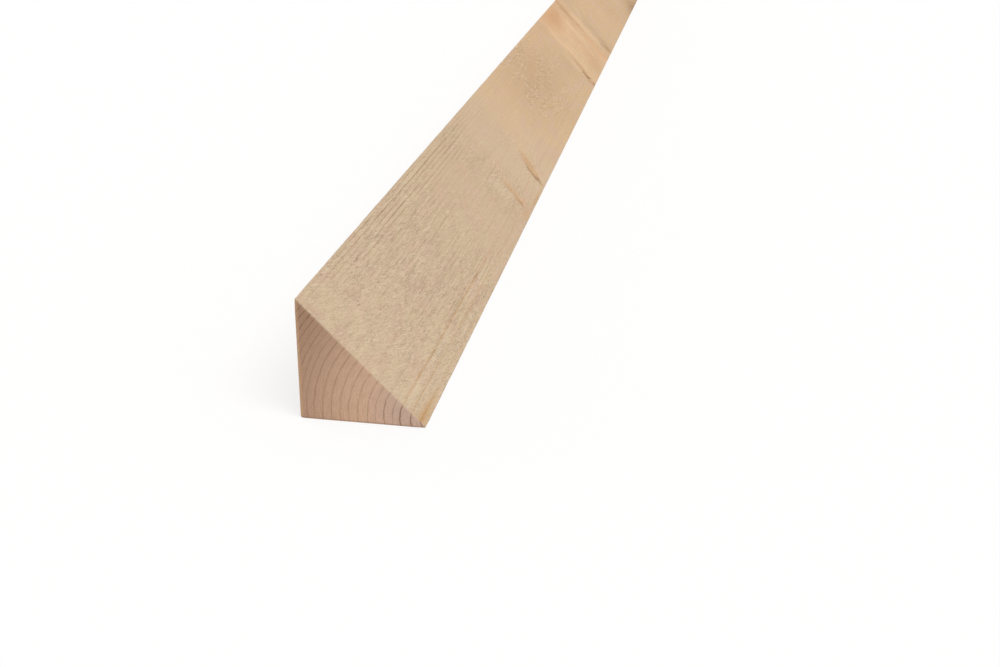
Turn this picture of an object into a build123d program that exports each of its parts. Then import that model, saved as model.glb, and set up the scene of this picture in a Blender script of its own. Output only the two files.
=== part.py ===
"""Triangular batten: one length of sawn softwood with a right-angled triangular section.

A square stick is sawn corner to corner, which leaves two square faces and one sloping sawn face.
The batten lies on its base with its back upright, as it is nailed into the corner of a deck and a wall.
The origin is the middle of the base. X runs from the back to the toe, Y along the length, Z up.
"""

import os

from build123d import *

# Driving dimensions, in millimetres
base_width = 50.0  # the leg that lies flat, from back to toe
back_height = 50.0  # the leg that stands upright, from base to crest
length = 2000.0  # between the two square end cuts
heel_radius = 1.0  # wear of the square arris, where base and back meet
toe_radius = 0.5  # wear of the thin arris at the foot of the slope
crest_radius = 0.5  # wear of the thin arris at the top of the back

# Corners of the section, before its arrises are eased
heel = (-base_width / 2, 0)
toe = (base_width / 2, 0)
crest = (-base_width / 2, back_height)

with BuildPart() as batten:
    with BuildSketch(Plane.XZ) as section:
        with BuildLine():
            Polyline(heel, toe, crest, close=True)
        make_face()
        for corner, radius in ((heel, heel_radius), (toe, toe_radius), (crest, crest_radius)):
            fillet(section.vertices().sort_by_distance(corner)[0], radius)
    extrude(amount=length / 2, both=True)

batten.part.label = "triangular_batten"

os.makedirs("parts", exist_ok=True)
export_step(batten.part, "parts/triangular_batten.step")
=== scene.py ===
"""Triangular batten: a length of rough-sawn spruce, lying on a pale studio floor.

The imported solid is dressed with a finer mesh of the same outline, worn along its arrises and rough from the
saw. Its growth rings and branches run through the whole stick, so all five faces are cut from the same tree.
"""

import math
from types import SimpleNamespace

import bmesh
import bpy
from mathutils import Matrix, Vector


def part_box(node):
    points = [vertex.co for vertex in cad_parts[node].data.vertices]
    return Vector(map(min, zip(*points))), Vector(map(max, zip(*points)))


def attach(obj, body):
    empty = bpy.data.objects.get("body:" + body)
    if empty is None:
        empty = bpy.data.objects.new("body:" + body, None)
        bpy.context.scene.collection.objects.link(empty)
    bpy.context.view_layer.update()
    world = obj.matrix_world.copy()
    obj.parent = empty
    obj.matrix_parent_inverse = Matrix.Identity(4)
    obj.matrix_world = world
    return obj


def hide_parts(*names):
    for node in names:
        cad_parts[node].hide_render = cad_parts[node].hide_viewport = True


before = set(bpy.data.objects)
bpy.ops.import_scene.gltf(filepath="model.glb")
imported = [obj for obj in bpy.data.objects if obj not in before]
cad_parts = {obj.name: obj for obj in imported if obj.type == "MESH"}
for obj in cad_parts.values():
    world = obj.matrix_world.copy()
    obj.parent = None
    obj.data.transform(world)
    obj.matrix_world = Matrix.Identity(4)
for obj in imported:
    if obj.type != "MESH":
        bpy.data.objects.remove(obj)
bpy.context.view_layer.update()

bl_info = {
    "name": "Triangular Batten",
    "version": (1, 0, 0),
    "blender": (4, 5, 0),
    "location": "View3D > Sidebar > Batten",
    "description": "Saws a triangular batten from a spruce stick and sets it on a studio floor",
    "category": "Object",
}

NODE = "triangular_batten"
SLOT = "sawn_spruce"
LOWEST, HIGHEST = (Vector(corner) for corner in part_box(NODE))

MM = 0.001
# The slope falls at 45 degrees, so a step along it goes this far along each leg
SLANT = math.sqrt(0.5)
# An arris of 45 degrees eased to this radius falls short of the sharp one by the loss, along each leg
TIP_RADIUS = 0.5 * MM
TIP_LOSS = TIP_RADIUS * math.sqrt(2)

# How bright the floor's own paint comes out under the lamps, clear of any shadow
LIT_FLOOR = 0.835

# Growth rings outwards from the pith: width in millimetres, and how dark the line is that ends it
GROWTH_RINGS = (
    (3.2, 0.1), (2.5, 0.95), (3.7, 1.0), (4.3, 0.9), (2.8, 0.5), (3.5, 0.8), (3.3, 0.5), (3.0, 0.65),
    (4.0, 0.55), (3.5, 0.65), (3.3, 0.5), (3.5, 0.7), (3.4, 0.6), (3.4, 0.65), (2.9, 0.5), (2.2, 0.4),
    (2.2, 0.65), (2.3, 0.5), (2.4, 0.6), (2.3, 0.9), (2.4, 0.65), (2.3, 1.0), (2.3, 0.6), (2.4, 0.8),
    (2.4, 0.6), (2.4, 0.8), (2.4, 0.6),
)

# Branches: distance from the near end to where the branch leaves the pith, in millimetres, degrees that it
# rises from the base towards the slope, its radius in millimetres 20 mm out from the pith, how far it leans
# up the tree, how round it is, where less than 1 stretches it across the stick, and how dark its skin is
BRANCHES = (
    (271, 22.0, 2.8, 0.30, 0.75, 0.35),
    (323, 18.0, 5.7, 0.75, 1.00, 0.85),
    (622, 16.5, 4.1, 0.50, 0.55, 1.3),
    (737, 40.6, 2.3, 0.06, 0.90, 0.1),
    (1082, 17.0, 3.4, 0.50, 0.70, 0.7),
    (1118, 35.0, 1.8, 0.40, 0.80, 0.5),
    (1471, 30.0, 2.3, 0.50, 0.80, 0.6),
    (1509, 9.0, 3.0, 0.40, 0.60, 0.7),
    (1858, 23.0, 3.0, 0.50, 0.70, 0.7),
)

# How torn the sawn faces are along the stick: millimetres from the near end, and strength, 1 where well torn
TORN_GRAIN = (
    (0, 1.15), (60, 1.5), (130, 1.5), (160, 1.2), (200, 0.95), (215, 0.6), (235, 0.6), (255, 1.0),
    (285, 0.85), (305, 0.35), (400, 0.15), (800, 0.15), (950, 0.6), (1150, 0.3), (1400, 0.15), (1650, 0.8),
    (1850, 0.5), (2000, 0.9),
)
# And how far it curls instead, past a whorl
CURLED_GRAIN = (
    (0, 0.05), (235, 0.15), (255, 0.5), (290, 0.5), (310, 0.3), (345, 0.5), (365, 0.2), (425, 0.4),
    (450, 1.6), (545, 1.7), (575, 0.7), (610, 0.25), (760, 0.2), (1200, 1.2), (1300, 0.3), (1560, 1.0),
    (1700, 0.2), (2000, 0.05),
)

# Cells of each kind of grain, in millimetres across and along the stick
TUFT = (0.40, 1.9)
STRAND = (0.85, 5.5)
FINE_GRAIN = (0.65, 70)
HAIR = (0.75, 38)
CURL = (1.4, 7.0)
TORN_PATCH = (5, 14)
CURLED_PATCH = (8, 32)
WANDER = (9, 26)

# Stretches in millimetres from the near end, over which something comes in or goes out
DULLER = (130, 300)
WARMER = (290, 470)
SMOOTHER = (230, 400)
RINGS_DRIFT = (150, 400)
FINE_GRAIN_IN = (20, 110)
FINE_GRAIN_LESS = (155, 205)
FINE_GRAIN_OUT = (285, 315)
TOE_LINES_OUT = (120, 230)
CREST_LINES_IN = (10, 100)
CREST_LINES_OUT = (265, 310)
CLEAR_BAND_IN = (628, 634)
CLEAR_BAND_OUT = (700, 750)
STREAKS_IN = (628, 638)
STREAKS_OUT = (790, 830)

# Soft patches: colour, millimetres from the near end and down from the crest, their spreads, and strength
PATCHES = (
    ("pale_fibre_and_highlight", 267, 48, 8, 7, 0.35),
    ("knot", 265, 67, 9, 4, 0.5),
    ("honey", 276.5, 62, 3, 3, 0.8),
    ("pith_wood", 299, 68.6, 16, 1.3, 0.5),
    ("knot_rim", 327.5, 67, 2.5, 2, 0.3),
    ("knot", 337, 54, 5, 4, 0.5),
    ("rosy", 344, 63, 6, 5, 0.6),
    ("honey", 405, 18, 45, 24, 0.2),
    ("shade_wood", 500, 27, 65, 24, 0.85),
    ("knot", 500, 25, 60, 22, 0.3),
    ("honey", 575, 6, 50, 12, 0.2),
    ("shade_wood", 605, 42, 16, 16, 0.4),
    ("pale_band", 621, 46, 5, 9, 0.5),
    ("knot", 621, 66, 4, 5, 0.8),
    ("knot_rim", 621, 66, 4, 5, 0.17),
    ("pale_band", 643, 28, 9, 20, 0.9),
    ("pale_band", 672, 30, 26, 12, 0.3),
    ("salmon", 688, 8, 42, 15, 1.0),
    ("honey", 690, 40, 22, 14, 0.3),
    ("knot", 682, 58, 28, 12, 0.6),
    ("pale_band", 714, 27, 8, 12, 0.9),
    ("honey", 733, 46, 9, 26, 0.8),
    ("honey", 727, 63, 10, 9, 0.8),
    ("salmon", 731, 50, 7, 22, 0.4),
    ("pith_wood", 740, 13, 5.5, 8, 0.7),
    ("knot_rim", 740, 12, 4.5, 8, 0.5),
    ("honey", 738, 1, 9, 5, 0.8),
    ("pale_band", 753, 37, 7, 21, 1.0),
    ("shade_wood", 778, 46, 13, 16, 0.7),
    ("knot_rim", 767, 63, 11, 8, 0.58),
    ("pale_band", 862, 42, 14, 12, 0.3),
    ("honey", 860, 30, 60, 30, 0.2),
    ("knot", 910, 52, 40, 20, 0.25),
    ("honey", 1000, 30, 60, 20, 0.4),
    ("knot_rim", 1030, 72, 50, 12, 0.75),
    ("honey", 1330, 50, 70, 20, 0.4),
    ("shade_wood", 1560, 30, 70, 24, 0.5),
    ("honey", 1720, 15, 60, 22, 0.4),
)


class BattenSizes(bpy.types.PropertyGroup):
    """Sizes of the batten and of its mesh."""

    base_width: bpy.props.FloatProperty(
        name="Base width", description="Leg that lies flat, from the back to the sharp toe",
        default=HIGHEST.x - LOWEST.x + TIP_LOSS, unit="LENGTH",
    )
    back_height: bpy.props.FloatProperty(
        name="Back height", description="Leg that stands upright, from the base to the sharp crest",
        default=HIGHEST.z - LOWEST.z + TIP_LOSS, unit="LENGTH",
    )
    length: bpy.props.FloatProperty(
        name="Length", description="Distance between the end cuts",
        default=HIGHEST.y - LOWEST.y, unit="LENGTH",
    )
    arris_reach: bpy.props.FloatProperty(
        name="Arris reach", description="How far the wear of an arris reaches over its faces",
        default=1.2 * MM, unit="LENGTH",
    )
    rim_reach: bpy.props.FloatProperty(
        name="Rim reach", description="How far the wear of an end's rim reaches over its faces",
        default=0.35 * MM, unit="LENGTH",
    )
    strips: bpy.props.IntProperty(
        name="Strips", description="Strips of mesh across each long face", default=30, min=4,
    )
    coarse_slices: bpy.props.IntProperty(
        name="Coarse slices", description="First cut of the length into slices", default=80, min=2, max=101,
    )
    fine_slices: bpy.props.IntProperty(
        name="Fine slices", description="Slices that each coarse slice is cut into",
        default=10, min=2, max=101,
    )


class SpruceLook(bpy.types.PropertyGroup):
    """Colours of the spruce, the place of its pith and the depth of its torn fibres."""

    earlywood: bpy.props.FloatVectorProperty(
        name="Earlywood", description="Pale wood of the spring growth",
        subtype="COLOR", default=(0.666, 0.506, 0.341),
    )
    warm_wood: bpy.props.FloatVectorProperty(
        name="Warm wood", description="Smoother, yellower wood beyond the torn stretch",
        subtype="COLOR", default=(0.678, 0.468, 0.272),
    )
    shade_wood: bpy.props.FloatVectorProperty(
        name="Shade wood", description="Duller patches",
        subtype="COLOR", default=(0.570, 0.392, 0.236),
    )
    honey: bpy.props.FloatVectorProperty(
        name="Honey", description="Warm patches round the whorls",
        subtype="COLOR", default=(0.735, 0.455, 0.245),
    )
    salmon: bpy.props.FloatVectorProperty(
        name="Salmon", description="Reddest patches of a whorl",
        subtype="COLOR", default=(0.672, 0.376, 0.192),
    )
    rosy: bpy.props.FloatVectorProperty(
        name="Rosy", description="Faint blush in the pale wood",
        subtype="COLOR", default=(0.655, 0.455, 0.322),
    )
    pale_band: bpy.props.FloatVectorProperty(
        name="Pale band", description="Clear wood between the branches of a whorl",
        subtype="COLOR", default=(0.800, 0.545, 0.330),
    )
    latewood: bpy.props.FloatVectorProperty(
        name="Latewood", description="Dense lines of the summer growth",
        subtype="COLOR", default=(0.33, 0.20, 0.105),
    )
    pith_wood: bpy.props.FloatVectorProperty(
        name="Pith wood", description="Orange lines round the pith",
        subtype="COLOR", default=(0.57, 0.325, 0.135),
    )
    # Pale tips of torn fibres: in part the paler fibres themselves, in part a painted highlight on the raised
    # fibres; also a pale patch colour and the bleached ring
    pale_fibre_and_highlight: bpy.props.FloatVectorProperty(
        name="Torn fibre", description="Pale tips of torn fibres",
        subtype="COLOR", default=(0.79, 0.625, 0.44),
    )
    # Painted shade in the hollows between torn fibres
    painted_hollow_shade: bpy.props.FloatVectorProperty(
        name="Hollow", description="Shade between torn fibres",
        subtype="COLOR", default=(0.43, 0.285, 0.17),
    )
    end_grain: bpy.props.FloatVectorProperty(
        name="End grain", description="Sawn end of the fibres",
        subtype="COLOR", default=(0.700, 0.460, 0.314),
    )
    end_heart: bpy.props.FloatVectorProperty(
        name="End heart", description="Sawn end of the fibres at the pith",
        subtype="COLOR", default=(0.647, 0.452, 0.350),
    )
    # In part painted shade: the end grain darkens towards the crest, where less light comes up from the
    # floor, and the wood there is browner too
    end_crest_wood_and_shade: bpy.props.FloatVectorProperty(
        name="End crest", description="Sawn end of the fibres at the crest",
        subtype="COLOR", default=(0.400, 0.234, 0.150),
    )
    end_line: bpy.props.FloatVectorProperty(
        name="End line", description="Ring lines on the end grain",
        subtype="COLOR", default=(0.29, 0.155, 0.09),
    )
    end_dash: bpy.props.FloatVectorProperty(
        name="End dash", description="Ring lines on the end grain at the crest",
        subtype="COLOR", default=(0.15, 0.075, 0.045),
    )
    knot: bpy.props.FloatVectorProperty(
        name="Knot", description="Wood of a branch",
        subtype="COLOR", default=(0.62, 0.372, 0.192),
    )
    knot_rim: bpy.props.FloatVectorProperty(
        name="Knot rim", description="Dark skin between a branch and the stem",
        subtype="COLOR", default=(0.33, 0.185, 0.09),
    )
    pith: bpy.props.FloatVectorProperty(
        name="Pith", description="Centre of the rings at the near end, across and up",
        size=2, unit="LENGTH", default=(27.6 * MM, 3.45 * MM),
    )
    tuft_depth: bpy.props.FloatProperty(
        name="Tuft depth", description="Height of the torn fibres", default=0.9 * MM, unit="LENGTH",
    )


class StudioSetup(bpy.types.PropertyGroup):
    """Camera, lamps and floor."""

    lens: bpy.props.FloatProperty(
        name="Lens", description="Focal length on a sensor 36 mm wide", default=47.52, unit="CAMERA",
    )
    eye: bpy.props.FloatVectorProperty(
        name="Eye", description="Place of the camera",
        subtype="TRANSLATION", unit="LENGTH", default=(0.1263, -1.4380, 0.2269),
    )
    yaw: bpy.props.FloatProperty(
        name="Yaw", description="Turn of the camera about the vertical",
        subtype="ANGLE", default=math.radians(9.539),
    )
    pitch: bpy.props.FloatProperty(
        name="Pitch", description="How far the camera looks down",
        subtype="ANGLE", default=math.radians(22.684),
    )
    roll: bpy.props.FloatProperty(
        name="Roll", description="Tilt of the camera about its own line of sight",
        subtype="ANGLE", default=math.radians(0.439),
    )
    dome_strength: bpy.props.FloatProperty(
        name="Dome", description="Even light from all round", default=0.5,
    )
    key_strength: bpy.props.FloatProperty(
        name="Key strength", description="Strength of the wide, even key light", default=1.6,
    )
    key_from: bpy.props.FloatVectorProperty(
        name="Key from", description="Where the key light comes from",
        subtype="DIRECTION", default=(0.45, -0.35, 0.82),
    )
    key_spread: bpy.props.FloatProperty(
        name="Key spread", description="Width of the key light as seen from the batten",
        subtype="ANGLE", default=math.radians(40),
    )
    fill_strength: bpy.props.FloatProperty(
        name="Fill strength", description="Strength of the weak light behind the batten", default=0.5,
    )
    fill_from: bpy.props.FloatVectorProperty(
        name="Fill from", description="Where the fill light comes from",
        subtype="DIRECTION", default=(-0.85, 0.40, 0.35),
    )
    fill_spread: bpy.props.FloatProperty(
        name="Fill spread", description="Width of the fill light as seen from the batten",
        subtype="ANGLE", default=math.radians(60),
    )
    shadow_share: bpy.props.FloatProperty(
        name="Shadow share", description="How much of its shading the white floor shows the camera",
        subtype="FACTOR", default=0.35, min=0, max=1,
    )


class Field:
    """A number that varies through the wood. Sums, products and powers of fields add the nodes for them."""

    def __init__(self, bench, socket):
        self.bench = bench
        self.socket = socket

    def __add__(self, other):
        return self.bench.maths("ADD", self, other)

    def __sub__(self, other):
        return self.bench.maths("SUBTRACT", self, other)

    def __rsub__(self, other):
        return self.bench.maths("SUBTRACT", other, self)

    def __mul__(self, other):
        return self.bench.maths("MULTIPLY", self, other)

    def __truediv__(self, other):
        return self.bench.maths("DIVIDE", self, other)

    def __pow__(self, other):
        return self.bench.maths("POWER", self, other)

    __radd__ = __add__
    __rmul__ = __mul__


class Bench:
    """Adds nodes to one material or world and wires them as it goes."""

    def __init__(self, tree):
        self.tree = tree

    def node(self, kind, inputs=None, **settings):
        """A new node with its settings, and with numbers, colours or other nodes' sockets on its inputs."""
        made = self.tree.nodes.new(f"ShaderNode{kind}")
        for name, value in settings.items():
            setattr(made, name, value)
        for name, value in (inputs or {}).items():
            if isinstance(value, Field):
                value = value.socket
            if isinstance(value, bpy.types.NodeSocket):
                self.tree.links.new(value, made.inputs[name])
            else:
                made.inputs[name].default_value = value
        return made

    def maths(self, operation, first, second=0.0):
        made = self.node("Math", {0: first, 1: second}, operation=operation)
        return Field(self, made.outputs[0])

    def larger(self, first, second):
        return self.maths("MAXIMUM", first, second)

    def step(self, field, low, high):
        """0 below low, 1 above high, and a smooth rise between them."""
        made = self.node(
            "MapRange", {"Value": field, "From Min": low, "From Max": high}, interpolation_type="SMOOTHSTEP"
        )
        return Field(self, made.outputs["Result"])

    def share(self, field, whole):
        """0 below nothing, rising evenly to 1 at the whole."""
        made = self.node("MapRange", {"Value": field, "From Max": whole})
        return Field(self, made.outputs["Result"])

    def bell(self, field, centre, spread):
        """1 at the centre, falling away smoothly on both sides."""
        away = (field - centre) / spread
        return self.maths("EXPONENT", away * away * -1.0)

    def settle(self, field, reach):
        """0 at nothing, rising ever more slowly towards 1 over about this reach."""
        return 1.0 - self.maths("EXPONENT", field * (-1.0 / reach))

    def noise(self, x, y, z, detail=2.0, roughness=0.5, distortion=0.0):
        """Noise from 0 to 1, one unit of x, y or z to a cell."""
        place = self.node("CombineXYZ", {0: x, 1: y, 2: z})
        made = self.node("TexNoise", {
            "Vector": place.outputs[0], "Scale": 1.0, "Detail": detail, "Roughness": roughness,
            "Distortion": distortion,
        })
        return Field(self, made.outputs[0])

    def cells(self, at, size, swept=None, **settings):
        """Noise in cells of a size, across and along the stick in millimetres, swept down the slope."""
        across, along = size
        x, z = at.x, at.z
        if swept is not None:
            x = x - swept * SLANT
            z = z + swept * SLANT
        return self.noise(x / across, at.s / along, z / across, **settings)

    def curve(self, field, points):
        """A line through points, (from, to), that start at 0 and have nothing below it."""
        far = points[-1][0]
        top = max(value for place, value in points)
        made = self.node("FloatCurve", {"Value": field / far})
        line = made.mapping.curves[0].points
        for index, (place, value) in enumerate(points):
            if index in (0, len(points) - 1):
                line[0 if index == 0 else -1].location = (place / far, value / top)
            else:
                line.new(place / far, value / top)
        for point in line:
            point.handle_type = "VECTOR"
        made.mapping.update()
        return Field(self, made.outputs["Value"]) * top

    def blend(self, share, under, over):
        """One colour over another, by a share from 0 to 1."""
        made = self.node("Mix", {0: share, 6: under, 7: over}, data_type="RGBA")
        return made.outputs[2]


def paint(colour):
    """A colour property with its alpha."""
    return (*colour, 1.0)


def deselect_all():
    """Leaves edit mode and selects nothing."""
    if bpy.context.object and bpy.context.object.mode != "OBJECT":
        bpy.ops.object.mode_set(mode="OBJECT")
    bpy.ops.object.select_all(action="DESELECT")


def select_edges(batten, wanted):
    """Selects the edges that pass the test, in edit mode."""
    bpy.ops.mesh.select_mode(type="EDGE")
    bpy.ops.mesh.select_all(action="DESELECT")
    mesh = bmesh.from_edit_mesh(batten.data)
    for edge in mesh.edges:
        if wanted(edge):
            edge.select_set(True)
    bmesh.update_edit_mesh(batten.data)


def is_sharp(edge):
    return edge.calc_face_angle(0) > math.radians(20)


def along_length(shortest):
    """A test for edges that run along the batten and are at least this long."""
    def wanted(edge):
        span = edge.verts[1].co - edge.verts[0].co
        return abs(span.y) >= shortest and math.hypot(span.x, span.z) < 0.1 * MM
    return wanted


def on_arris(shortest):
    """A test for the edges along the batten that are sharp."""
    is_long = along_length(shortest)
    return lambda edge: is_long(edge) and is_sharp(edge)


def on_rim(half_length):
    """A test for the sharp edges round the two ends."""
    def wanted(edge):
        at_end = all(abs(abs(point.co.y) - half_length) < 0.01 * MM for point in edge.verts)
        return at_end and is_sharp(edge)
    return wanted


def saw_stick(sizes):
    """A square stick's end, sawn corner to corner, drawn out to the batten's length and cut into slices."""
    near = -sizes.length / 2
    middle = (0, near, sizes.back_height / 2)
    deselect_all()
    bpy.ops.mesh.primitive_grid_add(
        x_subdivisions=sizes.strips, y_subdivisions=sizes.strips, size=1.0,
        location=middle, rotation=(math.pi / 2, 0, 0),
    )
    batten = bpy.context.object
    batten.name = batten.data.name = "batten"
    batten.scale = (sizes.base_width, sizes.back_height, 1)
    bpy.ops.object.transform_apply(location=True, rotation=True, scale=True)

    bpy.ops.object.mode_set(mode="EDIT")
    bpy.ops.mesh.select_all(action="SELECT")
    bpy.ops.mesh.bisect(
        plane_co=middle, plane_no=(sizes.back_height, 0, sizes.base_width),
        clear_outer=True, threshold=0.01 * MM,
    )
    bpy.ops.mesh.select_all(action="SELECT")
    bpy.ops.mesh.extrude_region_move(TRANSFORM_OT_translate={"value": (0, sizes.length, 0)})
    bpy.ops.mesh.select_all(action="SELECT")
    bpy.ops.mesh.normals_make_consistent(inside=False)

    # Ease the arrises, and the rims of both ends a little
    select_edges(batten, on_arris(sizes.length / 2))
    bpy.ops.transform.edge_bevelweight(value=1.0)
    select_edges(batten, on_rim(sizes.length / 2))
    bpy.ops.transform.edge_bevelweight(value=sizes.rim_reach / sizes.arris_reach)
    bpy.ops.object.mode_set(mode="OBJECT")
    bpy.ops.object.modifier_add(type="BEVEL")
    ease = batten.modifiers[-1]
    ease.limit_method = "WEIGHT"
    ease.width = sizes.arris_reach
    ease.segments = 3
    ease.use_clamp_overlap = False
    bpy.ops.object.modifier_apply(modifier=ease.name)

    bpy.ops.object.mode_set(mode="EDIT")
    select_edges(batten, along_length(sizes.length / 2))
    bpy.ops.mesh.subdivide(number_cuts=sizes.coarse_slices - 1)
    select_edges(batten, along_length(sizes.length / sizes.coarse_slices / 2))
    bpy.ops.mesh.subdivide(number_cuts=sizes.fine_slices - 1)
    bpy.ops.object.mode_set(mode="OBJECT")
    return batten


def weigh(batten, name, weight):
    """A vertex group that holds the weight of each point, where it has any."""
    group = batten.vertex_groups.new(name=name)
    for point in batten.data.vertices:
        share = weight(point.co)
        if share > 0.01:
            group.add([point.index], share, "REPLACE")


def press(batten, group, grain, strength, middle=0.0, contrast=1.0, intensity=1.0):
    """Moves the points of a group along their normals, by soft noise in grains of the given size."""
    bpy.ops.object.empty_add(type="PLAIN_AXES")
    marker = bpy.context.object
    marker.scale = grain
    deselect_all()
    batten.select_set(True)
    bpy.context.view_layer.objects.active = batten
    noise = bpy.data.textures.new(group, "CLOUDS")
    noise.noise_scale = 1.0
    noise.noise_depth = 1
    noise.contrast = contrast
    noise.intensity = intensity
    noise.use_clamp = True
    bpy.ops.object.modifier_add(type="DISPLACE")
    relief = batten.modifiers[-1]
    relief.texture = noise
    relief.texture_coords = "OBJECT"
    relief.texture_coords_object = marker
    relief.vertex_group = group
    relief.direction = "NORMAL"
    relief.mid_level = middle
    relief.strength = strength
    bpy.ops.object.modifier_apply(modifier=relief.name)
    bpy.data.objects.remove(marker)
    bpy.data.textures.remove(noise)


def wear_stick(batten, sizes):
    """Leaves the long faces slightly uneven, the arrises nibbled and the near corners knocked off."""
    half = sizes.base_width / 2
    near = -sizes.length / 2
    crest = Vector((-half, near, sizes.back_height))
    toe = Vector((half, near, 0))
    heel = Vector((-half, near, 0))
    arris_width = 2.5 * MM
    corner_width = 5 * MM
    # The faces stay true along the base, where the batten stands, and along the rims of the ends
    base_margin = 3 * MM
    rim_margin = 0.5 * MM

    def arris_share(place):
        nearest = min(math.hypot(place.x - edge.x, place.z - edge.z) for edge in (crest, toe, heel))
        return max(0.0, 1.0 - nearest / arris_width)

    def face_share(place):
        lifted = min(1.0, place.z / base_margin)
        inside = 1.0 if abs(abs(place.y) - sizes.length / 2) > rim_margin else 0.0
        return (1.0 - arris_share(place)) * lifted * inside

    def corner_share(place):
        nearest = min((place - corner).length for corner in (crest, toe))
        return max(0.0, 1.0 - nearest / corner_width)

    weigh(batten, "faces", face_share)
    weigh(batten, "arrises", arris_share)
    weigh(batten, "corners", corner_share)
    press(batten, "faces", (0.014, 0.12, 0.014), 0.4 * MM, middle=0.8)
    press(batten, "arrises", (0.003, 0.012, 0.003), -0.12 * MM)
    press(batten, "arrises", (0.005, 0.022, 0.005), -0.2 * MM, contrast=3.0, intensity=0.35)
    press(batten, "corners", (0.003, 0.003, 0.003), -0.25 * MM)
    batten.vertex_groups.clear()


def lay_out_map(batten, sizes):
    """The bake map: each long face in two halves, one above the other, the ends on top."""
    half = sizes.base_width / 2

    def down_slope(place):
        return (place.x + half + sizes.back_height - place.z) * SLANT

    # Each long face: where it faces, how far across it a point lies, its width, and its height on the map
    long_faces = (
        (Vector((SLANT, 0, SLANT)), down_slope, 71.5 * MM, 0.155),
        (Vector((-1, 0, 0)), lambda place: place.z, 50.5 * MM, 0.108),
        (Vector((0, 0, -1)), lambda place: place.x + half, 50.5 * MM, 0.095),
    )
    gap = 0.006
    floor = gap
    rows = []
    for normal, across, width, height in long_faces:
        rows.append((normal, across, width, height, floor, floor + height + gap))
        floor += 2 * (height + gap)
    end_size = 1.0 - gap - floor
    run = (1.0 - 2 * gap) / (sizes.length / 2 + 2 * MM)

    layer = batten.data.uv_layers.new(name="OFBake")
    points = batten.data.vertices
    for face in batten.data.polygons:
        normal = face.normal
        facings = [normal.dot(row[0]) for row in rows]
        best = max(range(len(rows)), key=lambda number: facings[number])
        for loop in face.loop_indices:
            place = points[batten.data.loops[loop].vertex_index].co
            if abs(normal.y) > facings[best]:
                u = gap + (place.x + half) / sizes.base_width * end_size + (0.5 if normal.y > 0 else 0.0)
                v = floor + place.z / sizes.back_height * end_size
            else:
                _, across, width, height, near_row, far_row = rows[best]
                is_near = face.center.y < 0
                u = gap + (place.y + (sizes.length / 2 if is_near else 0) + MM) * run
                v = (near_row if is_near else far_row) + (across(place) + 0.25 * MM) / width * height
            layer.data[loop].uv = (u, v)


def wood_grain(bench, look, sizes):
    """Where a point lies in the tree, in millimetres, and in which ring or branch."""
    at = SimpleNamespace()
    coordinates = bench.node("TexCoord")
    scaled = bench.node(
        "VectorMath", {0: coordinates.outputs["Object"], "Scale": 1 / MM}, operation="SCALE"
    )
    place = bench.node("SeparateXYZ", {0: scaled.outputs[0]})
    at.x = Field(bench, place.outputs["X"])
    at.s = Field(bench, place.outputs["Y"]) + sizes.length / 2 / MM
    at.z = Field(bench, place.outputs["Z"])

    # Down the slope from the crest, and into the wood from the slope
    half = sizes.base_width / 2 / MM
    at.down = (at.x - at.z + (half + sizes.back_height / MM)) * SLANT
    at.inward = (half - (at.x + at.z)) * SLANT

    facing = bench.node("SeparateXYZ", {0: coordinates.outputs["Normal"]})
    facing_x, facing_y, facing_z = (Field(bench, facing.outputs[axis]) for axis in "XYZ")
    at.end_share = bench.step(bench.maths("ABSOLUTE", facing_y), 0.55, 0.85)
    at.slope_share = bench.step((facing_x + facing_z) * SLANT, 0.75, 0.95)

    # The pith sways by a millimetre or so along the stick, and each branch pushes the rings outwards
    across = at.x - look.pith[0] / MM - bench.maths("SINE", at.s / 310) * 1.3
    above = at.z - look.pith[1] / MM - bench.maths("SINE", at.s / 430) * 1.1
    at.radius = (across * across + above * above) ** 0.5
    at.round = bench.maths("ARCTAN2", above, across * -1.0) * at.radius
    warp = bench.cells(at, TORN_PATCH, detail=1.0, distortion=0.5)
    at.core, at.rim, at.halo, nearby, push = grown_branches(bench, at.s, across, above, warp)
    at.ripple = bench.maths("SINE", (at.down - push * 2.5 + warp * 7.0) * 2.6) * nearby

    # Rings drift in long waves beyond the near stretch, and waver by less than half a millimetre
    drift = (bench.cells(at, (15, 230)) - 0.5) * 2.4 * bench.step(at.s, *RINGS_DRIFT) + at.s * 0.003
    waver = (bench.cells(at, (2.5, 9)) - 0.5) * 0.8
    at.ring_radius = at.radius + drift + waver - push

    reach, ends, darkness = 0.0, [(0.0, 0.0)], [(0.0, 0.1)]
    for number, (width, dark) in enumerate(GROWTH_RINGS, 1):
        reach += width
        ends.append((reach, float(number)))
        # The line lies just inside the end of its ring
        darkness.append((number - 0.15, dark))
    phase = bench.curve(at.ring_radius, ends)
    at.ring = bench.maths("FRACT", phase)
    at.dark = bench.curve(phase, darkness)
    return at


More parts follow.
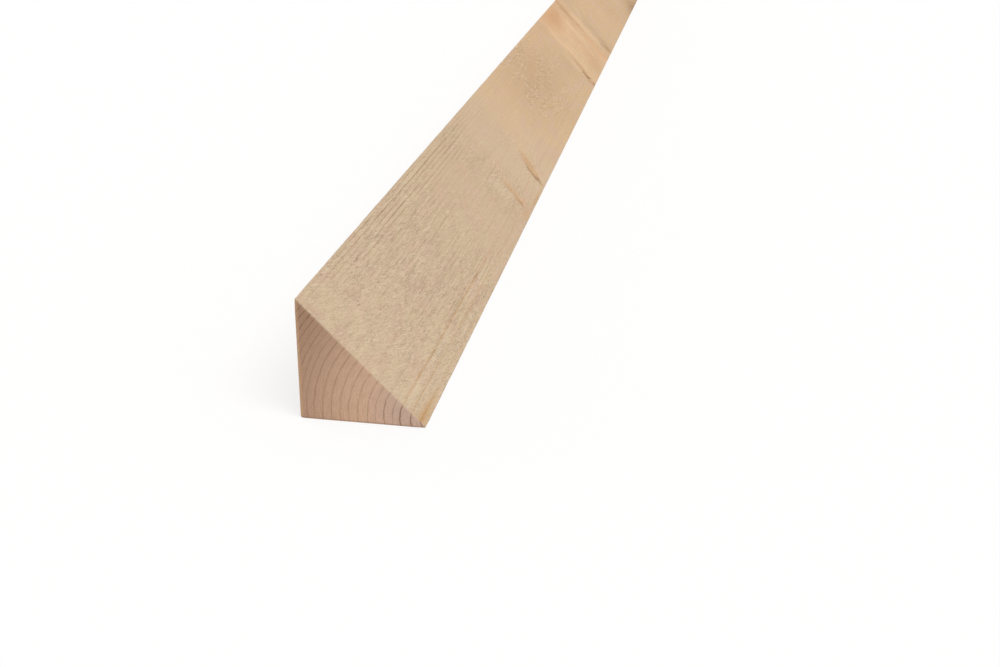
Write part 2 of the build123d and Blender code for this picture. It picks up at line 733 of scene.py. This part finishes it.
def grown_branches(bench, s, across, above, warp):
    """The branches out from the pith: shares of knot, dark rim, stain and nearness, and push on the rings."""
    core, rim, halo, nearby, push = 0.0, 0.0, 0.0, 0.0, 0.0
    for start, rise, radius, lean, roundness, dark in BRANCHES:
        # Out along the branch, aside from it towards the slope, and up the tree from it
        rise = math.radians(rise)
        out = above * math.sin(rise) - across * math.cos(rise)
        aside = above * math.cos(rise) + across * math.sin(rise)
        up = s - out * lean - start + (warp - 0.5) * 7.0

        # It thickens fast at first, then more slowly, and comes to its radius 20 mm out
        fast = out * 0.045 + 0.1
        slow = out * 0.0275 + 0.45
        thick = bench.larger(bench.maths("MINIMUM", fast, slow), 0.45) * radius
        flat = aside * roundness
        away = (flat * flat + up * up * 0.75) ** 0.5 / thick
        grown = bench.step(out, -2.5, 1.0)
        core = bench.larger((1.0 - bench.step(away, 0.6, 1.3)) * grown, core)

        # The skin is dark mostly under the branch, and broken
        under = 1.0 - bench.step(up / thick + aside / thick * 1.4, -0.8, 0.6)
        skin = bench.bell((away - 0.9) * thick, 0.0, 0.7 + 0.6 * dark) * bench.step(warp, 0.28, 0.50)
        rim = bench.larger(skin * grown * (under * 0.9 + 0.1) * dark, rim)

        # Stained wood just up the tree, rippled grain round it, and rings bent round it
        beyond = up - thick * 1.3
        stain = (flat * flat + beyond * beyond) ** 0.5 / thick
        halo = bench.larger(bench.bell(stain, 0.0, 1.9) * grown, halo)
        close = bench.bell(up, 4.0, 24.0) * bench.bell(aside, 2.0, 8.0)
        nearby = bench.larger(close * bench.step(out, 5.0, 12.0), nearby)
        bend = bench.bell(up, 0.0, 15.0) * bench.bell(aside, 0.0, 14.0) * 2.4
        push = push + bend * bench.step(out, -4.0, 6.0)
    return core, rim, halo, nearby, push


def torn_fibres(bench, at):
    """Height of the torn fibres: straight grain, short strokes combed over it, and curls past a whorl."""
    # Strokes sweep down the slope, the longer ones further than the tufts
    wander = (bench.cells(at, WANDER) - 0.5) * 4.0
    swept = at.s * 0.10 + bench.settle(at.s, 50) * 9.0 + wander
    swept_further = swept + bench.settle(at.s, 125) * 12.0
    strand = bench.cells(at, STRAND, swept=swept_further, detail=1.5, distortion=0.4) - 0.5
    tuft = bench.cells(at, TUFT, swept=swept, detail=1.0) - 0.5
    patch = bench.step(bench.cells(at, TORN_PATCH, detail=1.0), 0.36, 0.60) * 0.35 + 0.65
    torn = (tuft + strand) * 0.85 * patch * bench.curve(at.s, TORN_GRAIN)

    # Straight grain is plainest from about 100 to 160 mm, and comes back round the first branch
    plain = bench.step(at.s, *FINE_GRAIN_IN) * 0.85 + 0.3
    less = bench.step(at.s, *FINE_GRAIN_LESS) * 0.60 + bench.step(at.s, *FINE_GRAIN_OUT) * 0.35
    straight = plain - less + bench.bell(at.s, 262.0, 22.0) * 0.35
    grain = bench.cells(at, FINE_GRAIN, detail=1.5, roughness=0.6) - 0.5
    hair = bench.step(bench.cells(at, HAIR, detail=0.0), 0.60, 0.74)
    straight_grain = (grain * 0.65 - hair * 0.16) * straight

    # Curls lie in broken patches, and are fainter towards the toe
    curl = bench.cells(at, CURL, swept=at.s * 0.15 + wander, detail=1.0, distortion=0.6) - 0.5
    broken = bench.step(bench.cells(at, CURLED_PATCH, detail=1.0), 0.34, 0.64)
    to_toe = bench.step(at.down, 46.0, 62.0) * at.slope_share
    curly = curl * broken * bench.curve(at.s, CURLED_GRAIN) * (1.0 - to_toe * 0.65)
    ripples = at.ripple * (broken * 0.6 + 0.4) * 0.22
    return torn + straight_grain + curly + ripples


def plain_wood(bench, look, at):
    """Wood between the rings: cool near the sawn end, warmer further on, with dull and rosy patches."""
    wood = bench.blend(bench.step(at.s, *WARMER), paint(look.earlywood), paint(look.warm_wood))
    tone = bench.step(bench.cells(at, (26, 90), detail=3.0), 0.38, 0.7)
    wood = bench.blend(tone * (bench.step(at.s, *DULLER) * 0.22 + 0.05), wood, paint(look.shade_wood))
    before_whorl = bench.bell(at.s, 235.0, 80.0)
    wood = bench.blend(before_whorl * 0.32, wood, paint(look.shade_wood))
    blush = bench.noise(at.x / 7 + 40.0, at.s / 20, at.z / 7)
    return bench.blend(bench.step(blush, 0.45, 0.68) * 0.7, wood, paint(look.rosy))


def patched_wood(bench, look, at, wood):
    """The clear band of the second whorl, then all soft patches, and streaks that follow the band."""
    stray = (bench.cells(at, (9, 30)) - 0.5) * 18.0
    cone = at.s - at.radius * 0.10 + stray
    band = bench.step(cone, *CLEAR_BAND_IN) * (1.0 - bench.step(cone, *CLEAR_BAND_OUT))
    wood = bench.blend(band * 0.45, wood, paint(look.pale_band))
    for colour, along, down, spread_along, spread_down, strength in PATCHES:
        # The outline of a narrow patch strays less
        loose = stray * min(1.0, spread_down / 15)
        length = bench.bell(at.s + loose * 0.6, along, spread_along)
        width = bench.bell(at.down + loose, down, spread_down)
        wood = bench.blend(length * width * strength, wood, paint(getattr(look, colour)))
    steep = at.s - at.radius * 0.05 + stray
    stripe = bench.noise(steep / 7, at.radius / 13, 3.0) - 0.5
    striped = bench.step(cone, *STREAKS_IN) * (1.0 - bench.step(cone, *STREAKS_OUT))
    wood = bench.blend(bench.share(stripe, 0.3) * striped * 0.6, wood, paint(look.pale_band))
    return bench.blend(bench.share(stripe * -1.0, 0.3) * striped * 0.5, wood, paint(look.shade_wood))


def ringed_wood(bench, look, at, wood):
    """Ring lines on the long faces, near the pith orange and broad, near the crest fine and dark."""
    line = bench.step(at.ring, 0.70, 0.90) * (1.0 - bench.step(at.ring, 0.94, 1.0))
    broken = bench.step(bench.cells(at, (2, 24)), 0.36, 0.58) * 0.75 + 0.25

    # On the slope the lines show along the toe, where the second and third rings are fainter
    near_pith = 1.0 - bench.step(at.radius, 13.8, 17.0)
    toe_fade = 1.0 - bench.step(at.s, *TOE_LINES_OUT) * 0.85 + bench.bell(at.s, 300.0, 30.0) * 0.4
    second = bench.bell(at.radius, 5.5, 1.4) * bench.step(at.s, 5.0, 40.0) * 0.9
    third = bench.bell(at.radius, 8.8, 2.0) * 0.6
    toe_lines = near_pith * toe_fade * (1.0 - third - second) * 0.75

    # They show along the crest too, and hardly between
    crest_fade = bench.step(at.s, *CREST_LINES_IN) * (1.0 - bench.step(at.s, *CREST_LINES_OUT) * 0.9)
    crest_lines = bench.step(at.radius, 44.0, 60.0) * crest_fade * 0.80
    slope_shown = toe_lines + crest_lines + 0.12 - bench.step(at.s, *SMOOTHER) * 0.09
    shown = at.slope_share * slope_shown + (1.0 - at.slope_share) * 0.5
    line_colour = bench.blend(near_pith, paint(look.latewood), paint(look.pith_wood))
    wood = bench.blend(line * at.dark * shown * bench.larger(broken, near_pith * 0.7), wood, line_colour)
    return wood, line


def long_face_colour(bench, look, at, fuzz):
    """The slope, back and base: wood, patches, ring lines, torn fibres and knots, and the lines alone."""
    wood = plain_wood(bench, look, at)
    wood = patched_wood(bench, look, at, wood)
    wood, line = ringed_wood(bench, look, at, wood)

    # Torn fibres: pale tips, in part a painted highlight, and painted shade in the hollows between them
    wood = bench.blend(bench.share(fuzz, 0.54), wood, paint(look.pale_fibre_and_highlight))
    wood = bench.blend(bench.share(fuzz * -1.0, 0.88), wood, paint(look.painted_hollow_shade))

    # At the near end the second ring's line is a broad orange strip, and the fourth ring is bleached
    strip = bench.bell(at.ring_radius, 5.5, 1.2) * bench.bell(at.s, 0.0, 20.0)
    wood = bench.blend(strip * 0.72, wood, paint(look.pith_wood))
    bleached = bench.bell(at.ring_radius, 11.8, 1.1) * bench.bell(at.s, 10.0, 60.0)
    wood = bench.blend(bleached * 0.35, wood, paint(look.pale_fibre_and_highlight))

    # Knots: stain, wood and skin
    wood = bench.blend(at.halo * 0.25, wood, paint(look.honey))
    wood = bench.blend(at.core * 0.65, wood, paint(look.knot))
    return bench.blend(at.rim * 0.9, wood, paint(look.knot_rim)), line


def end_colour(bench, look, at):
    """The sawn ends: pinkish, darker towards the crest partly by painted shade, with fine fibres and thin
    broken ring lines.
    """
    fibre = bench.noise(at.ring_radius / 0.45, at.round / 5.0, at.s / 20, detail=3.0, roughness=0.6)
    wood = bench.blend(bench.step(at.radius, 12.0, 30.0), paint(look.end_heart), paint(look.end_grain))
    # Darker towards the crest: browner wood and, in part, painted shade
    wood = bench.blend(bench.step(at.radius, 24.0, 70.0), wood, paint(look.end_crest_wood_and_shade))
    wood = bench.blend(bench.step(fibre, 0.35, 0.75) * 0.28, wood, paint(look.end_line))

    # Ring lines, strongest at the pith and at the crest
    broken = bench.step(bench.noise(at.round / 5, at.ring_radius / 2, 0.0), 0.3, 0.55) * 0.6 + 0.4
    thin = bench.step(at.ring, 0.74, 0.90) * (1.0 - bench.step(at.ring, 0.93, 1.0))
    to_crest = bench.step(at.radius, 40.0, 64.0)
    to_pith = 1.0 - bench.step(at.radius, 14.0, 24.0)
    line = bench.blend(to_crest, paint(look.end_line), paint(look.end_dash))
    strength = bench.larger(to_crest * 0.15, to_pith * 0.25) + 0.72
    wood = bench.blend(thin * at.dark * broken * strength, wood, line)

    # Edges: honey at the back, a painted contact shadow along the base, and pale torn wood along the slope
    ragged = bench.noise(at.x / 0.8, at.s, at.z / 0.8)
    back_edge = 1.0 - bench.step(at.x + ragged * 1.2, -23.9, -22.9)
    wood = bench.blend(back_edge * 0.4, wood, paint(look.honey))
    # Painted contact shadow: the bottom edge of the end is darkened with the ring-line colour where the
    # batten meets the floor
    painted_contact_shadow = 1.0 - bench.step(at.z, 0.3, 1.1)
    wood = bench.blend(painted_contact_shadow * 0.45, wood, paint(look.end_line))
    slope_edge = (1.0 - bench.step(at.inward + ragged * 1.4, 0.9, 1.7)) * bench.step(at.radius, 5.0, 9.0)
    return bench.blend(slope_edge * 0.55, wood, paint(look.earlywood))


def spruce(look, sizes):
    """Raw spruce: rings and branches in the solid, torn fibres on its faces, darker lines on its ends."""
    material = bpy.data.materials.new(SLOT)
    material.use_nodes = True
    material.node_tree.nodes.clear()
    bench = Bench(material.node_tree)
    at = wood_grain(bench, look, sizes)
    fuzz = torn_fibres(bench, at)
    wood, line = long_face_colour(bench, look, at, fuzz)
    colour = bench.blend(at.end_share, wood, end_colour(bench, look, at))

    face_height = fuzz * 0.52 + line * at.dark * 0.10
    end_height = (bench.noise(at.x / 0.6, at.z / 0.9, at.s / 0.6) - 0.5) * 0.3
    height = face_height * (1.0 - at.end_share) + end_height * at.end_share
    bump = bench.node("Bump", {"Height": height, "Distance": look.tuft_depth, "Strength": 1.0})
    shader = bench.node("BsdfPrincipled", {
        "Base Color": colour, "Roughness": 0.78, "Specular IOR Level": 0.3, "Normal": bump.outputs["Normal"],
    })
    bench.node("OutputMaterial", {"Surface": shader.outputs["BSDF"]})
    return material


class BATTEN_OT_saw(bpy.types.Operator):
    """Saw the batten from its stick and give it its wood"""

    bl_idname = "batten.saw"
    bl_label = "Saw Batten"
    bl_options = {"REGISTER", "UNDO"}

    def execute(self, context):
        sizes = context.scene.batten_sizes
        batten = saw_stick(sizes)
        wear_stick(batten, sizes)
        bpy.ops.object.shade_smooth_by_angle(angle=math.radians(60))
        bpy.ops.object.modifier_add(type="WEIGHTED_NORMAL")
        bpy.ops.object.modifier_apply(modifier=batten.modifiers[-1].name)
        lay_out_map(batten, sizes)
        batten.data.materials.append(spruce(context.scene.batten_look, sizes))
        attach(batten, "root")
        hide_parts(NODE)
        return {"FINISHED"}


def floor_paint(setup):
    """White as the camera sees it, keeping a share of its shading, and plain pale paint to other light."""
    material = bpy.data.materials.new("studio_floor")
    material.use_nodes = True
    material.node_tree.nodes.clear()
    bench = Bench(material.node_tree)
    plain = bench.node("BsdfDiffuse", {"Color": (0.86, 0.86, 0.86, 1)})
    light = bench.node("LightPath")
    in_view, in_gloss, in_glass = (
        Field(bench, light.outputs[f"Is {kind} Ray"]) for kind in ("Camera", "Glossy", "Transmission")
    )
    seen = bench.larger(bench.larger(in_view, in_gloss), in_glass)
    share = setup.shadow_share
    glow = bench.node("Emission", {"Color": (1, 1, 1, 1), "Strength": (1 - share * LIT_FLOOR) / (1 - share)})
    mixed = bench.node("MixShader", {0: seen * (1.0 - share), 1: plain.outputs[0], 2: glow.outputs[0]})
    bench.node("OutputMaterial", {"Surface": mixed.outputs[0]})
    return material


def studio_dome(setup):
    """A dim dome of light that the camera sees as white."""
    world = bpy.data.worlds.new("studio")
    world.use_nodes = True
    world.node_tree.nodes.clear()
    bench = Bench(world.node_tree)
    light = bench.node("LightPath")
    in_view, in_glass = (
        Field(bench, light.outputs[f"Is {kind} Ray"]) for kind in ("Camera", "Transmission")
    )
    dome = bench.node("Background", {"Color": (1.0, 0.995, 0.985, 1), "Strength": setup.dome_strength})
    white = bench.node("Background", {"Color": (1, 1, 1, 1), "Strength": 1.0})
    sky = bench.node("MixShader", {
        0: bench.larger(in_view, in_glass), 1: dome.outputs[0], 2: white.outputs[0],
    })
    bench.node("OutputWorld", {"Surface": sky.outputs[0]})
    return world


def hang_lamp(context, name, source, strength, spread):
    """A wide, even light that shines on the batten from one side."""
    light = bpy.data.lights.new(name, "SUN")
    light.angle = spread
    light.energy = strength
    lamp = bpy.data.objects.new(name, light)
    context.collection.objects.link(lamp)
    lamp.location = Vector(source) * 2
    lamp.rotation_euler = Vector(source).to_track_quat("Z", "Y").to_euler()


def place_camera(context, setup):
    """A camera at the photo's place, which the scene then looks through."""
    camera = bpy.data.cameras.new("camera")
    camera.sensor_width = 36.0
    camera.sensor_fit = "HORIZONTAL"
    camera.lens = setup.lens
    camera.clip_start = 0.01
    holder = bpy.data.objects.new("camera", camera)
    context.collection.objects.link(holder)
    turn = Matrix.Rotation(setup.yaw, 4, "Z") @ Matrix.Rotation(math.pi / 2 - setup.pitch, 4, "X")
    holder.matrix_world = Matrix.Translation(setup.eye) @ turn @ Matrix.Rotation(setup.roll, 4, "Z")
    context.scene.camera = holder


class BATTEN_OT_stage(bpy.types.Operator):
    """Lay the floor, hang the lamps and place the camera"""

    bl_idname = "batten.stage"
    bl_label = "Set Stage"
    bl_options = {"REGISTER", "UNDO"}

    def execute(self, context):
        setup = context.scene.batten_studio
        deselect_all()
        bpy.ops.mesh.primitive_plane_add(size=80.0, location=(0, 0, LOWEST.z))
        floor = context.object
        floor.name = "studio_floor"
        floor.data.materials.append(floor_paint(setup))

        context.scene.world = studio_dome(setup)
        hang_lamp(context, "key", setup.key_from, setup.key_strength, setup.key_spread)
        hang_lamp(context, "fill", setup.fill_from, setup.fill_strength, setup.fill_spread)
        place_camera(context, setup)
        context.scene.view_settings.view_transform = "Standard"
        return {"FINISHED"}


class BATTEN_PT_panel(bpy.types.Panel):
    """Sizes, wood and studio of the batten"""

    bl_idname = "BATTEN_PT_panel"
    bl_label = "Triangular Batten"
    bl_space_type = "VIEW_3D"
    bl_region_type = "UI"
    bl_category = "Batten"

    def draw(self, context):
        scene = context.scene
        for group in (scene.batten_sizes, scene.batten_look, scene.batten_studio):
            box = self.layout.box()
            for name in group.__annotations__:
                box.prop(group, name)
        self.layout.operator(BATTEN_OT_saw.bl_idname)
        self.layout.operator(BATTEN_OT_stage.bl_idname)


CLASSES = (BattenSizes, SpruceLook, StudioSetup, BATTEN_OT_saw, BATTEN_OT_stage, BATTEN_PT_panel)


def register():
    for cls in CLASSES:
        bpy.utils.register_class(cls)
    bpy.types.Scene.batten_sizes = bpy.props.PointerProperty(type=BattenSizes)
    bpy.types.Scene.batten_look = bpy.props.PointerProperty(type=SpruceLook)
    bpy.types.Scene.batten_studio = bpy.props.PointerProperty(type=StudioSetup)


def unregister():
    del bpy.types.Scene.batten_studio
    del bpy.types.Scene.batten_look
    del bpy.types.Scene.batten_sizes
    for cls in reversed(CLASSES):
        bpy.utils.unregister_class(cls)


def main():
    register()
    bpy.ops.batten.saw()
    bpy.ops.batten.stage()


if __name__ == "__main__":
    main()
